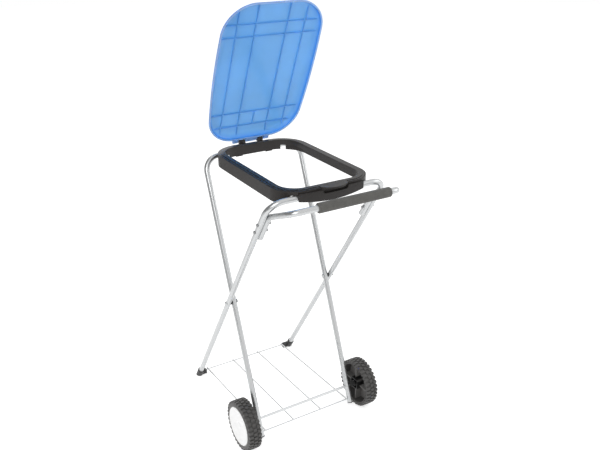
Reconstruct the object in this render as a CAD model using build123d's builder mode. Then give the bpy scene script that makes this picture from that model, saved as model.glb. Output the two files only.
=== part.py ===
from build123d import *
from math import cos, radians, sin, tan
import os

os.makedirs("parts", exist_ok=True)

# Folding bin bag holder, in millimetres. X is across, the handle and the wheels are towards -Y,
# and the floor is Z = 0. Left is -X. Two bent tube frames cross at a pivot line; a plastic ring
# joins their top bars, and a wire shelf joins their lower ends.

# Tube frames
tube_d = 16.0
tube_wall = 1.2
pivot_height = 405.0
wheel_lean = 21.8           # the wheel frame's top leans to the rear
foot_lean = -33.4           # the foot frame's top leans to the front
bar_height = 797.5          # centre of both top bars
wheel_half = 157.0          # mid-plane to the centre of a wheel frame leg
pivot_gap = 1.2             # between the two legs at the pivot
frame_bend = 45.0
wheel_leg_below = 407.5     # pivot to the lower end, along the leg
foot_end_height = 10.0      # centre of the foot frame's cut end above the floor

# Pivots and fasteners
pivot_bolt_d = 6.0
pivot_head_d = 12.0
pivot_head_t = 3.0
washer_d = 14.0
washer_clearance = 0.1
pivot_head_round = 2.1
screw_d = 5.0
screw_head_d = 9.0
screw_head_t = 2.6
screw_head_round = 1.5
nut_across = 8.0
nut_t = 4.0
running = 0.06              # radial clearance where one piece turns on another
fitted = 0.04               # radial clearance where a piece is held still
cut_past = 1.0              # how far a cut starts outside the piece

# Handle
handle_tail = 325.0         # pivot to the lower end of a handle arm, along the foot frame
handle_turn = 413.0         # pivot to where the arm turns away from the leg
handle_rise = 23.0          # slope of the arm's free part
handle_reach = 125.0
handle_turn_bend = 40.0
handle_corner_bend = 27.0
handle_gap = 0.2            # between an arm and the leg it is bolted to
screw_spots = (32.0, 63.0)  # above the lower end of an arm
grip_d = 26.0
grip_left = -88.0
grip_right = 124.0
grip_round = 2.5

# Wheels and axle
wheel_d = 150.0
wheel_width = 38.0
wheel_stand_off = 18.5      # from a leg's outer side to the wheel's inner face
wheel_rim_d = 124.0
wheel_hub_d = 18.0
wheel_boss = 34.0           # across the square boss round the hub
wheel_boss_wall = 3.0
wheel_boss_round = 5.0
wheel_web = 3.0
wheel_dish = 6.0            # depth of the recess that takes the hub cap
wheel_ribs = 4
wheel_rib_t = 3.0
wheel_rib_setback = 7.0
tread_rows = 3
tread_blocks = 34
tread_depth = 3.6
tread_gap = 4.2
tread_groove = 2.2
tyre_shoulder = 2.5
axle_d = 8.0
spacer_d = 13.0
spacer_gap = 0.3
push_nut_d = 17.0
push_nut_t = 2.2
cap_clearance = 0.3
cap_rise = 2.4
cap_bevel = 5.0
cap_dish_r = 16.0
cap_wall = 1.8

# Feet, leg plugs and the wire shelf
foot_cap_wall = 2.6
foot_cap_grip = 22.0
cradle_depth = 13.0
cradle_height = 14.0
cradle_reach = 24.2         # from the centre of the leg inwards
foot_cap_depth = 32.0       # from the leg's end, before the floor cuts it
plug_flange = 3.0
plug_overhang = 0.6
plug_round = 1.6
plug_depth = 8.0
wire_d = 4.0
wire_weld = 0.4
shelf_front_below = 396.0   # pivot to the front wire, along the wheel frame
shelf_pin_proud = 1.0       # the front wire outside each leg
shelf_rear_offset = 1.0     # the rear wire's height above the foot frame's cut end
shelf_rear_setback = 5.0    # the rear wire behind the foot frame's cut end
shelf_wire_margin = 14.0    # outer long wires inside the rear wire's ends
shelf_wires = 4
shelf_seat = 8.0            # the rear wire's ends inside the cradles
shelf_end_room = 1.5

# Bag ring
ring_half_width = 137.5
ring_front_corner = 71.0
ring_rear_corner = 81.0
ring_wall = 2.2
ring_web = 2.4
ring_inner_wall = 1.8
channel_gap = 0.3           # between a top bar and the ring
skirt_drop = 15.5           # skirt below the bars' centre
ring_rise = 18.5            # top of the skirt above the bars' centre
inner_wall_lift = 4.0       # lower edge of the inner wall above the bars' centre
rear_wall_drop = 9.0        # the inner wall covers the rear bar
clip_inner = 38.0
clip_width = 22.0
clip_drop = 12.0
clip_mouth = 12.0
rear_wall_half = 84.0
front_slot_from = 72.0
rear_slot_from = 62.0
slot_to = 150.0
slot_clearance = 1.0
lift_angle = 58.0           # direction in which the ring leaves the front bar
fascia_half = 96.0          # the fascia hides the front bar where it leaves the ring
fascia_bulge = 7.0
fascia_top = 13.5           # above the bars' centre
fascia_end_lift = 9.0       # its lower edge rises towards the ends
pocket_half = 38.0          # finger pocket in the fascia, under the tab
pocket_floor = 4.5          # above the bars' centre
pocket_round = 8.0

# Clamp ring
clamp_gap = 0.4             # between the clamp ring and the base ring
clamp_plate = 2.4
clamp_step = 1.2
clamp_step_inset = 8.5
clamp_skirt = 6.5
clamp_skirt_wall = 1.6
clamp_overhang = 0.6
tab_offset = 8.0            # the tab and the pocket lie right of the mid-plane
tab_half_width = 40.0
tab_reach = 18.0
tab_thickness = 4.2
tab_round = 1.2
tab_gap = 0.5

# Lid and its hinge
hinge_back = 15.0           # hinge pin behind the rear bar
hinge_up = 26.5             # hinge pin above the bars' centre
pin_d = 4.0
knuckle_d = 11.0
knuckle_gap = 0.4
lid_knuckle_half = 19.6     # the middle knuckle of the lid
clamp_knuckle = 9.2
ring_knuckle = 8.6
lid_outer_knuckle_from = 42.0
lid_outer_knuckle_to = 58.0
lid_open = 66.0             # from closed
lid_near = 8.6              # from the hinge pin to the near edge
lid_length = 440.0
lid_half_width = 154.0
lid_near_half = 139.0
lid_far_half = 145.0
lid_near_corner = 80.0
lid_far_corner = 85.0
lid_gap = 0.4               # between the closed lid and the clamp ring
lid_lip_width = 2.5
lid_lip_height = 3.0
lid_depth = 18.0
lid_slope = 32.0
lid_edge = 5.0
lid_wall = 2.0
lid_rib_t = 2.0
lid_rib_height = 5.0
lid_long_ribs = (47.0, 101.0)
lid_cross_ribs = (52.0, 99.0, 345.0, 382.0)
lid_arm = 13.0               # a lid knuckle's arm in front of the pin
lid_arm_below = 4.6
ring_bracket_drop = 26.0

# Worked out from the sizes above
tube_r = tube_d / 2
wheel_r = wheel_d / 2
foot_half = wheel_half + tube_d + pivot_gap
wheel_inset = wheel_half + tube_r + wheel_stand_off
handle_screws = [handle_tail + spot for spot in screw_spots]
cradle_inset = foot_half - cradle_reach
shelf_rear_half = cradle_inset + shelf_seat
shelf_wire_half = shelf_rear_half - shelf_wire_margin
handle_half = foot_half - tube_d - handle_gap
foot_cap_r = tube_r + foot_cap_wall
handle_front = (
    handle_turn * sin(radians(-foot_lean)) + handle_reach * cos(radians(handle_rise)) + grip_d / 2
)
foot_rear = pivot_height * tan(radians(-foot_lean)) + foot_cap_r / cos(radians(foot_lean))
pivot_y = (handle_front - foot_rear) / 2


def on_frame(distance, lean, x=0.0):
    """A point `distance` up from the pivot line in the plane of a frame with this lean."""
    turn = radians(lean)
    return Vector(x, pivot_y + distance * sin(turn), pivot_height + distance * cos(turn))


def reach_to(height, lean):
    """Distance along a leg from the pivot line to this height."""
    return (height - pivot_height) / cos(radians(lean))


def save(piece, name):
    """Label a finished piece and write it."""
    piece.part.label = name
    export_step(piece.part, f"parts/{name}.step")


def save_pair(piece, name):
    """Write a piece of the right side, and its mirror image for the left side."""
    save(piece, f"{name}_right")
    with BuildPart() as twin:
        mirror(piece.part, about=Plane.YZ)
    save(twin, f"{name}_left")


wheel_bar = reach_to(bar_height, wheel_lean)
foot_bar = reach_to(bar_height, foot_lean)
rear_bar_y = on_frame(wheel_bar, wheel_lean).Y
front_bar_y = on_frame(foot_bar, foot_lean).Y
foot_end = reach_to(foot_end_height, foot_lean)
axle_at = on_frame(reach_to(wheel_r, wheel_lean), wheel_lean)
axle_line = Axis(axle_at, (1, 0, 0))
shelf_front_at = on_frame(-shelf_front_below, wheel_lean)
shelf_rear_at = on_frame(foot_end, foot_lean) + Vector(0, shelf_rear_setback, shelf_rear_offset)

# Foot frame: an upside-down U of steel tube, its legs ending in the feet
with BuildPart() as foot_frame:
    with BuildLine() as foot_frame_line:
        FilletPolyline(
            on_frame(foot_end, foot_lean, -foot_half),
            on_frame(foot_bar, foot_lean, -foot_half),
            on_frame(foot_bar, foot_lean, foot_half),
            on_frame(foot_end, foot_lean, foot_half),
            radius=frame_bend,
        )
    with BuildSketch(Plane(foot_frame_line.line @ 0, z_dir=foot_frame_line.line % 0)):
        Circle(tube_r)
        Circle(tube_r - tube_wall, mode=Mode.SUBTRACT)
    sweep(path=foot_frame_line.line)
    with Locations(on_frame(0, foot_lean)):
        Cylinder(pivot_bolt_d / 2 + fitted, 3 * foot_half, rotation=(0, 90, 0), mode=Mode.SUBTRACT)
    with Locations([on_frame(distance, foot_lean) for distance in handle_screws]):
        Cylinder(screw_d / 2 + fitted, 3 * foot_half, rotation=(0, 90, 0), mode=Mode.SUBTRACT)
save(foot_frame, "foot_frame")

# Wheel frame: the inner U, its legs drilled for the pivot, the axle and the shelf
with BuildPart() as wheel_frame:
    with BuildLine() as wheel_frame_line:
        FilletPolyline(
            on_frame(-wheel_leg_below, wheel_lean, -wheel_half),
            on_frame(wheel_bar, wheel_lean, -wheel_half),
            on_frame(wheel_bar, wheel_lean, wheel_half),
            on_frame(-wheel_leg_below, wheel_lean, wheel_half),
            radius=frame_bend,
        )
    with BuildSketch(Plane(wheel_frame_line.line @ 0, z_dir=wheel_frame_line.line % 0)):
        Circle(tube_r)
        Circle(tube_r - tube_wall, mode=Mode.SUBTRACT)
    sweep(path=wheel_frame_line.line)
    with Locations(on_frame(0, wheel_lean)):
        Cylinder(pivot_bolt_d / 2 + running, 3 * wheel_half, rotation=(0, 90, 0), mode=Mode.SUBTRACT)
    with Locations(axle_at):
        Cylinder(axle_d / 2 + fitted, 3 * wheel_half, rotation=(0, 90, 0), mode=Mode.SUBTRACT)
    with Locations(shelf_front_at):
        Cylinder(wire_d / 2 + running, 3 * wheel_half, rotation=(0, 90, 0), mode=Mode.SUBTRACT)
save(wheel_frame, "wheel_frame")

# Handle: its arms lie inside the foot frame's legs, then turn forward into a bar
handle_turn_at = on_frame(handle_turn, foot_lean, handle_half)
handle_bar_at = handle_turn_at + handle_reach * Vector(
    0, -cos(radians(handle_rise)), sin(radians(handle_rise))
)
handle_arm = [on_frame(handle_tail, foot_lean, handle_half), handle_turn_at, handle_bar_at]
with BuildPart() as handle_tube:
    with BuildLine() as handle_line:
        FilletPolyline(
            *handle_arm,
            *[Vector(-point.X, point.Y, point.Z) for point in reversed(handle_arm)],
            radius=(handle_turn_bend, handle_corner_bend, handle_corner_bend, handle_turn_bend),
        )
    with BuildSketch(Plane(handle_line.line @ 0, z_dir=handle_line.line % 0)):
        Circle(tube_r)
        Circle(tube_r - tube_wall, mode=Mode.SUBTRACT)
    sweep(path=handle_line.line)
    with Locations([on_frame(distance, foot_lean) for distance in handle_screws]):
        Cylinder(screw_d / 2 + fitted, 3 * foot_half, rotation=(0, 90, 0), mode=Mode.SUBTRACT)
save(handle_tube, "handle_tube")

# Foam grip on the handle bar
with BuildPart() as handle_grip:
    with BuildSketch(Plane((grip_left, handle_bar_at.Y, handle_bar_at.Z), z_dir=(1, 0, 0))):
        Circle(grip_d / 2)
        Circle(tube_r + fitted, mode=Mode.SUBTRACT)
    extrude(amount=grip_right - grip_left)
    fillet(handle_grip.edges().filter_by(GeomType.CIRCLE).sort_by(SortBy.RADIUS)[-2:], grip_round)
save(handle_grip, "handle_grip")

# Screws and nuts that hold the handle arms to the foot frame
for distance, place in zip(handle_screws, ("lower", "upper")):
    with BuildPart() as handle_screw:
        with BuildSketch(Plane(on_frame(distance, foot_lean, foot_half + tube_r), z_dir=(-1, 0, 0))):
            Circle(screw_d / 2)
        extrude(amount=2 * tube_d + handle_gap + nut_t)
        with BuildSketch(Plane(on_frame(distance, foot_lean, foot_half + tube_r), z_dir=(1, 0, 0))):
            Circle(screw_head_d / 2)
        extrude(amount=screw_head_t)
        fillet(handle_screw.edges().sort_by(Axis.X)[-1], screw_head_round)
    save_pair(handle_screw, f"handle_screw_{place}")

    with BuildPart() as handle_nut:
        with BuildSketch(Plane(on_frame(distance, foot_lean, handle_half - tube_r), z_dir=(-1, 0, 0))):
            RegularPolygon(nut_across / 2, 6, major_radius=False)
            Circle(screw_d / 2 + fitted, mode=Mode.SUBTRACT)
        extrude(amount=nut_t)
    save_pair(handle_nut, f"handle_nut_{place}")

# Pivot bolt through both legs, its closed end inside, with a washer between the legs
with BuildPart() as pivot_bolt:
    with BuildSketch(Plane(on_frame(0, 0, foot_half + tube_r), z_dir=(-1, 0, 0))):
        Circle(pivot_bolt_d / 2)
    extrude(amount=2 * tube_d + pivot_gap + running)
    for x, direction in ((foot_half + tube_r, 1), (wheel_half - tube_r - running, -1)):
        with BuildSketch(Plane(on_frame(0, 0, x), z_dir=(direction, 0, 0))):
            Circle(pivot_head_d / 2)
        extrude(amount=pivot_head_t)
    fillet(pivot_bolt.edges().sort_by(Axis.X)[-1], pivot_head_round)
    fillet(pivot_bolt.edges().sort_by(Axis.X)[0], pivot_head_round)
save_pair(pivot_bolt, "pivot_bolt")

with BuildPart() as pivot_washer:
    with BuildSketch(Plane(on_frame(0, 0, wheel_half + tube_r + washer_clearance), z_dir=(1, 0, 0))):
        Circle(washer_d / 2)
        Circle(pivot_bolt_d / 2 + fitted, mode=Mode.SUBTRACT)
    extrude(amount=pivot_gap - 2 * washer_clearance)
save_pair(pivot_washer, "pivot_washer")

# Foot cap: a socket on the leg's end, cut flat on the floor, with a cradle for the shelf's rear wire
leg_down = on_frame(-1, foot_lean) - on_frame(0, foot_lean)
with BuildPart() as foot_cap:
    with BuildSketch(Plane(on_frame(foot_end + foot_cap_grip, foot_lean, foot_half), z_dir=leg_down)):
        Circle(foot_cap_r)
    extrude(amount=foot_cap_grip + foot_cap_depth)
    cradle_x = (cradle_inset + foot_half) / 2
    with BuildSketch(Plane((cradle_x, shelf_rear_at.Y, 0))):
        Rectangle(foot_half - cradle_inset, cradle_depth)
    extrude(amount=cradle_height)
    split(bisect_by=Plane.XY, keep=Keep.TOP)
    with BuildSketch(Plane(on_frame(foot_end - fitted, foot_lean, foot_half), z_dir=-leg_down)):
        Circle(tube_r + fitted)
    extrude(amount=2 * foot_cap_grip, mode=Mode.SUBTRACT)
    slot_way = (0, cos(radians(lift_angle)), sin(radians(lift_angle)))
    slot_from = Vector(cradle_inset - cut_past, shelf_rear_at.Y, shelf_rear_at.Z)
    with BuildSketch(Plane(slot_from, x_dir=slot_way, z_dir=(1, 0, 0))):
        Circle(wire_d / 2 + channel_gap)
        with Locations((cradle_height, 0)):
            Rectangle(2 * cradle_height, wire_d + 2 * channel_gap)
    extrude(amount=shelf_rear_half + shelf_end_room - cradle_inset + cut_past, mode=Mode.SUBTRACT)
save_pair(foot_cap, "foot_cap")

# Plug in the lower end of each wheel frame leg
wheel_leg_down = on_frame(-1, wheel_lean) - on_frame(0, wheel_lean)
with BuildPart() as leg_plug:
    with BuildSketch(Plane(on_frame(-wheel_leg_below, wheel_lean, wheel_half), z_dir=wheel_leg_down)):
        Circle(tube_r + plug_overhang)
    extrude(amount=plug_flange)
    fillet(leg_plug.edges().sort_by(Axis.Z)[0], plug_round)
    with BuildSketch(Plane(on_frame(-wheel_leg_below, wheel_lean, wheel_half), z_dir=-wheel_leg_down)):
        Circle(tube_r - tube_wall - fitted)
    extrude(amount=plug_depth)
save_pair(leg_plug, "leg_plug")

# Wire shelf: two cross wires with the long wires welded on top
with BuildPart() as shelf:
    with Locations(shelf_front_at):
        Cylinder(wire_d / 2, 2 * (wheel_half + tube_r + shelf_pin_proud), rotation=(0, 90, 0))
    with Locations(shelf_rear_at):
        Cylinder(wire_d / 2, 2 * shelf_rear_half, rotation=(0, 90, 0))
    shelf_run = shelf_rear_at - shelf_front_at
    shelf_plane = Plane(shelf_front_at, x_dir=(1, 0, 0), z_dir=shelf_run)
    with BuildSketch(shelf_plane.offset(-wire_d / 2)):
        with GridLocations(2 * shelf_wire_half / (shelf_wires - 1), 0, shelf_wires, 1):
            with Locations((0, wire_weld - wire_d)):
                Circle(wire_d / 2)
    extrude(amount=shelf_run.length + wire_d)
save(shelf, "shelf")

# Axle with a push nut on each end and a spacer between each leg and its wheel
wheel_outer = wheel_inset + wheel_width
hub_outer = wheel_outer - wheel_dish
with BuildPart() as axle:
    with Locations(axle_at):
        Cylinder(axle_d / 2, 2 * (hub_outer + push_nut_t), rotation=(0, 90, 0))
save(axle, "axle")

with BuildPart() as axle_spacer:
    with BuildSketch(Plane(axle_at + Vector(wheel_half + tube_r + spacer_gap, 0, 0), z_dir=(1, 0, 0))):
        Circle(spacer_d / 2)
        Circle(axle_d / 2 + fitted, mode=Mode.SUBTRACT)
    extrude(amount=wheel_inset - wheel_half - tube_r - 2 * spacer_gap)
save_pair(axle_spacer, "axle_spacer")

with BuildPart() as push_nut:
    with BuildSketch(Plane(axle_at + Vector(hub_outer + spacer_gap, 0, 0), z_dir=(1, 0, 0))):
        Circle(push_nut_d / 2)
        Circle(axle_d / 2 + fitted, mode=Mode.SUBTRACT)
    extrude(amount=push_nut_t - spacer_gap)
save_pair(push_nut, "push_nut")

# Wheel: a dished disc with a hub, a square boss, ribs inside, and a tyre cut into rows of blocks
axle_plane = Plane(axle_at, x_dir=(1, 0, 0), z_dir=(0, -1, 0))
wheel_rim_r = wheel_rim_d / 2
wheel_hub_r = wheel_hub_d / 2
web_inner = hub_outer - wheel_web


def wheel_face(depth):
    """The plane across the right wheel at this depth from its inner face."""
    return Plane((wheel_inset + depth, axle_at.Y, axle_at.Z), z_dir=(1, 0, 0))


with BuildPart() as wheel:
    with BuildSketch(axle_plane):
        with BuildLine():
            Polyline(
                (wheel_inset, wheel_rim_r),
                (wheel_inset, wheel_r - tyre_shoulder),
                (wheel_inset + tyre_shoulder, wheel_r),
                (wheel_outer - tyre_shoulder, wheel_r),
                (wheel_outer, wheel_r - tyre_shoulder),
                (wheel_outer, wheel_rim_r),
                (hub_outer, wheel_rim_r),
                (hub_outer, axle_d / 2 + running),
                (wheel_inset, axle_d / 2 + running),
                (wheel_inset, wheel_hub_r),
                (web_inner, wheel_hub_r),
                (web_inner, wheel_rim_r),
                close=True,
            )
        make_face()
    revolve(axis=axle_line)
    with BuildSketch(wheel_face(0)):
        RectangleRounded(wheel_boss, wheel_boss, wheel_boss_round)
        with BuildSketch(mode=Mode.SUBTRACT):
            Rectangle(wheel_boss - 2 * wheel_boss_wall, wheel_boss - 2 * wheel_boss_wall)
    extrude(amount=web_inner - wheel_inset)
    with BuildSketch(wheel_face(wheel_rib_setback)):
        with PolarLocations((wheel_boss / 2 + wheel_rim_r) / 2, wheel_ribs):
            Rectangle(wheel_rim_r - wheel_boss / 2 + wheel_rib_t, wheel_rib_t)
    extrude(amount=web_inner - wheel_inset - wheel_rib_setback)
    row_pitch = (wheel_width + tread_groove) / tread_rows
    for row in range(tread_rows):
        with BuildSketch(wheel_face(row * row_pitch - cut_past)):
            with PolarLocations(wheel_r, tread_blocks, start_angle=row * 180 / tread_blocks):
                Rectangle(2 * tread_depth, tread_gap)
        extrude(amount=row_pitch - tread_groove + 2 * cut_past, mode=Mode.SUBTRACT)
    for row in range(1, tread_rows):
        with BuildSketch(wheel_face(row * row_pitch - tread_groove)):
            Circle(wheel_r + tread_depth)
            Circle(wheel_r - tread_depth, mode=Mode.SUBTRACT)
        extrude(amount=tread_groove, mode=Mode.SUBTRACT)
save_pair(wheel, "wheel")

# Hub cap: a shallow dome pressed into the wheel's recess
with BuildPart() as hub_cap:
    with BuildSketch(axle_plane):
        with BuildLine():
            cap_edge = wheel_rim_r - cap_clearance
            Polyline(
                (hub_outer, cap_edge),
                (wheel_outer, cap_edge),
                (wheel_outer + cap_rise, cap_edge - cap_bevel),
                (wheel_outer + cap_rise, cap_dish_r),
                (wheel_outer + cap_rise / 2, cap_dish_r - cap_rise),
                (wheel_outer + cap_rise / 2, 0),
                (wheel_outer + cap_rise / 2 - cap_wall, 0),
                (wheel_outer + cap_rise / 2 - cap_wall, cap_edge - cap_bevel),
                (hub_outer, cap_edge - cap_wall),
                close=True,
            )
        make_face()
    revolve(axis=axle_line)
save_pair(hub_cap, "hub_cap")

# Bag ring in plan
tube_room = tube_d + 2 * channel_gap
bar_inset = ring_wall + tube_room / 2
ring_front = front_bar_y - bar_inset
ring_rear = rear_bar_y + bar_inset
inner_wall_inset = ring_wall + tube_room
ring_width = inner_wall_inset + ring_inner_wall
skirt_bottom = bar_height - skirt_drop
skirt_top = bar_height + ring_rise
web_bottom = bar_height + tube_r + channel_gap
web_top = web_bottom + ring_web
clamp_bottom = skirt_top - clamp_gap
clamp_top = clamp_bottom + clamp_plate
hinge_y = rear_bar_y + hinge_back
hinge_z = bar_height + hinge_up
clamp_inset = ring_wall + clamp_gap

# Knuckle arms in the hinge's own plane: first the distance in front of the pin, then the height
clamp_edge = hinge_y - ring_rear + clamp_inset
clamp_arm = (
    (0, 0),
    (0, skirt_top + clamp_gap - hinge_z),
    (clamp_edge, skirt_top + clamp_gap - hinge_z),
    (clamp_edge, clamp_bottom - hinge_z),
    (clamp_edge + clamp_step_inset, clamp_bottom - hinge_z),
    (clamp_edge + clamp_step_inset, clamp_top - hinge_z),
    (lid_near - knuckle_gap, clamp_top - hinge_z),
    (knuckle_d / 2, 0),
)
skirt_face = hinge_y - ring_rear
ring_bracket = (
    (knuckle_d / 2, 0),
    (skirt_face + ring_wall, skirt_top - hinge_z),
    (skirt_face + ring_wall, -ring_bracket_drop),
    (skirt_face, -ring_bracket_drop),
    (-knuckle_d / 2, 0),
)
lid_knuckle_arm = ((0, -lid_arm_below), (lid_arm, -lid_arm_below), (lid_arm, 0), (0, 0))
clamp_knuckle_to = lid_knuckle_half + knuckle_gap + clamp_knuckle
ring_knuckle_to = clamp_knuckle_to + knuckle_gap + ring_knuckle


def hinge_plane(x):
    """The hinge's own plane at this distance from the mid-plane."""
    return Plane((x, hinge_y, hinge_z), x_dir=(0, -1, 0), z_dir=(-1, 0, 0))


def ring_plan(inset):
    """The ring's outline in plan, moved inwards."""
    with BuildSketch() as plan:
        with Locations((0, (ring_front + ring_rear) / 2)):
            Rectangle(2 * (ring_half_width - inset), ring_rear - ring_front - 2 * inset)
        fillet(plan.vertices().group_by(Axis.Y)[0], ring_front_corner - inset)
        fillet(plan.vertices().group_by(Axis.Y)[-1], ring_rear_corner - inset)
    return plan.sketch


def ring_band(outer_inset, inner_inset):
    """The band of the ring's plan between two insets."""
    return ring_plan(outer_inset) - ring_plan(inner_inset)


def fascia_plan(inset):
    """The fascia's outline in plan, from its bulging front back to the front bar."""
    end_y = ring_front - channel_gap + inset
    with BuildSketch() as plan:
        with BuildLine():
            front = ThreePointArc(
                (-fascia_half, end_y),
                (0, ring_front - fascia_bulge + inset),
                (fascia_half, end_y),
            )
            Polyline(front @ 1, (fascia_half, front_bar_y), (-fascia_half, front_bar_y), front @ 0)
        make_face()
    return plan.sketch


# Base ring: a skirt, a web that lies on both top bars and an inner wall that the bag folds over
with BuildPart() as base_ring:
    for outer, inner, bottom, top in (
        (0, ring_wall, skirt_bottom, skirt_top),
        (0, ring_width, web_bottom, web_top),
        (inner_wall_inset, ring_width, bar_height + inner_wall_lift, clamp_bottom - clamp_gap),
    ):
        with BuildSketch(Plane.XY.offset(bottom)):
            add(ring_band(outer, inner))
        extrude(amount=top - bottom)
    # The inner wall hangs lower in front of the rear bar
    with BuildSketch(Plane.XY.offset(bar_height - rear_wall_drop)):
        add(ring_band(inner_wall_inset, ring_width))
        with Locations((0, ring_rear)):
            Rectangle(2 * rear_wall_half, 2 * ring_rear_corner, mode=Mode.INTERSECT)
    extrude(amount=rear_wall_drop + inner_wall_lift)
    # Snap clips round the rear bar, on which the ring turns
    with BuildSketch(Plane.XY.offset(bar_height - clip_drop)):
        for side in (-1, 1):
            with Locations((side * (clip_inner + clip_width / 2), rear_bar_y)):
                Rectangle(clip_width, tube_room)
    extrude(amount=clip_drop + tube_r)
    with Locations((0, rear_bar_y, bar_height)):
        Cylinder(tube_r + running, 2 * (clip_inner + clip_width), rotation=(0, 90, 0), mode=Mode.SUBTRACT)
    with BuildSketch(Plane.XY.offset(bar_height - clip_drop)):
        with Locations((0, rear_bar_y)):
            Rectangle(2 * (clip_inner + clip_width), clip_mouth)
    extrude(amount=clip_drop, mode=Mode.SUBTRACT)
    # Slots in the corners let the bars in, the front ones slanted so that the ring lifts off
    slant = 1 / tan(radians(lift_angle))
    slant_foot = (tube_r + slot_clearance) / sin(radians(lift_angle))
    for side in (-1, 1):
        slot_start = Vector(side * front_slot_from, front_bar_y, bar_height)
        with BuildSketch(Plane(slot_start, x_dir=(0, 1, 0), z_dir=(1, 0, 0))):
            Polygon(
                (-bar_inset - slot_clearance, web_bottom - bar_height),
                (slant_foot - (web_bottom - bar_height) * slant, web_bottom - bar_height),
                (slant_foot + (skirt_drop + slot_clearance) * slant, -skirt_drop - slot_clearance),
                (-bar_inset - slot_clearance, -skirt_drop - slot_clearance),
                align=None,
            )
        extrude(amount=side * (slot_to - front_slot_from), mode=Mode.SUBTRACT)
        with BuildSketch(Plane.XY.offset(skirt_bottom)):
            with Locations((side * (rear_slot_from + slot_to) / 2, rear_bar_y)):
                Rectangle(slot_to - rear_slot_from, tube_d + 2 * slot_clearance)
        extrude(amount=web_bottom - skirt_bottom, mode=Mode.SUBTRACT)
    # Fascia: a wall that bulges in front of the skirt, a ledge above it and a finger pocket
    fascia_ledge = fascia_plan(0) - ring_plan(ring_wall)
    with BuildSketch(Plane.XY.offset(skirt_bottom)):
        add(fascia_plan(0) - fascia_plan(ring_wall))
    extrude(amount=skirt_drop + fascia_top)
    with BuildSketch(Plane.XY.offset(bar_height + fascia_top - ring_wall)):
        add(fascia_ledge)
    extrude(amount=ring_wall)
    with BuildSketch(Plane.XY.offset(bar_height + pocket_floor - ring_wall)):
        add(fascia_ledge)
        with Locations((tab_offset, ring_front)):
            Rectangle(2 * (pocket_half + ring_wall), 2 * ring_front_corner, mode=Mode.INTERSECT)
    extrude(amount=fascia_top - pocket_floor + ring_wall)
    with BuildSketch(Plane((0, ring_front, bar_height), x_dir=(1, 0, 0), z_dir=(0, -1, 0))):
        with Locations((tab_offset, fascia_top + pocket_round)):
            RectangleRounded(
                2 * pocket_half, 2 * (fascia_top + pocket_round - pocket_floor), pocket_round
            )
    extrude(amount=fascia_bulge + cut_past, mode=Mode.SUBTRACT)
    with BuildSketch(Plane((0, front_bar_y, skirt_bottom), x_dir=(1, 0, 0), z_dir=(0, -1, 0))):
        with BuildLine():
            edge = ThreePointArc((-fascia_half, fascia_end_lift), (0, 0), (fascia_half, fascia_end_lift))
            Polyline(edge @ 1, (fascia_half, -cut_past), (-fascia_half, -cut_past), edge @ 0)
        make_face()
    extrude(amount=bar_inset + fascia_bulge + cut_past, mode=Mode.SUBTRACT)
    # Room for the clamp ring's tab in the front of the skirt
    with BuildSketch(Plane.XY.offset(clamp_top - tab_thickness - tab_gap)):
        with Locations((tab_offset, ring_front)):
            Rectangle(2 * (tab_half_width + tab_gap), 2 * (ring_wall + clamp_gap))
    extrude(amount=tab_thickness + 2 * tab_gap, mode=Mode.SUBTRACT)
    # Two hinge knuckles on brackets behind the skirt
    for side in (-1, 1):
        with BuildSketch(hinge_plane(side * ring_knuckle_to)):
            Polygon(*ring_bracket, align=None)
            Circle(knuckle_d / 2)
            Circle(pin_d / 2 + fitted, mode=Mode.SUBTRACT)
        extrude(amount=side * ring_knuckle)
save(base_ring, "base_ring")

# Clamp ring: drops into the base ring, grips the bag over the inner wall and lifts by its front tab
with BuildPart() as clamp_ring:
    for outer, inner, bottom, top in (
        (clamp_inset, clamp_step_inset, clamp_bottom, clamp_top - clamp_step),
        (clamp_step_inset, ring_width + clamp_overhang, clamp_bottom, clamp_top),
        (clamp_inset, clamp_inset + clamp_skirt_wall, clamp_bottom - clamp_skirt, clamp_bottom),
    ):
        with BuildSketch(Plane.XY.offset(bottom)):
            add(ring_band(outer, inner))
        extrude(amount=top - bottom)
    # The inner skirt stops where the rear corners begin, so that the ring can swing up
    with BuildSketch(Plane.XY.offset(clamp_bottom - clamp_skirt)):
        add(ring_band(inner_wall_inset - clamp_gap - clamp_skirt_wall, inner_wall_inset - clamp_gap))
        with Locations((0, ring_rear)):
            Rectangle(2 * ring_half_width, 2 * ring_rear_corner, mode=Mode.SUBTRACT)
    extrude(amount=clamp_skirt)
    with BuildSketch(Plane.XY.offset(clamp_top - tab_thickness)):
        with BuildLine():
            tab_left = tab_offset - tab_half_width
            tab_right = tab_offset + tab_half_width
            tab_root = ring_front + clamp_step_inset
            crescent = ThreePointArc(
                (tab_left, ring_front), (tab_offset, ring_front - tab_reach), (tab_right, ring_front)
            )
            Polyline(crescent @ 1, (tab_right, tab_root), (tab_left, tab_root), crescent @ 0)
        make_face()
    extrude(amount=tab_thickness)
    fillet(clamp_ring.edges().filter_by(GeomType.CIRCLE).sort_by(Axis.Y)[:2], tab_round)
    for side in (-1, 1):
        with BuildSketch(hinge_plane(side * clamp_knuckle_to)):
            Polygon(*clamp_arm, align=None)
            Circle(knuckle_d / 2)
            Circle(pin_d / 2 + running, mode=Mode.SUBTRACT)
        extrude(amount=side * clamp_knuckle)
save(clamp_ring, "clamp_ring")

# Hinge pin through the knuckles of the base ring, the clamp ring and the lid
with BuildPart() as hinge_pin:
    with Locations((0, hinge_y, hinge_z)):
        Cylinder(pin_d / 2, 2 * lid_outer_knuckle_to, rotation=(0, 90, 0))
save(hinge_pin, "hinge_pin")

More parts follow.
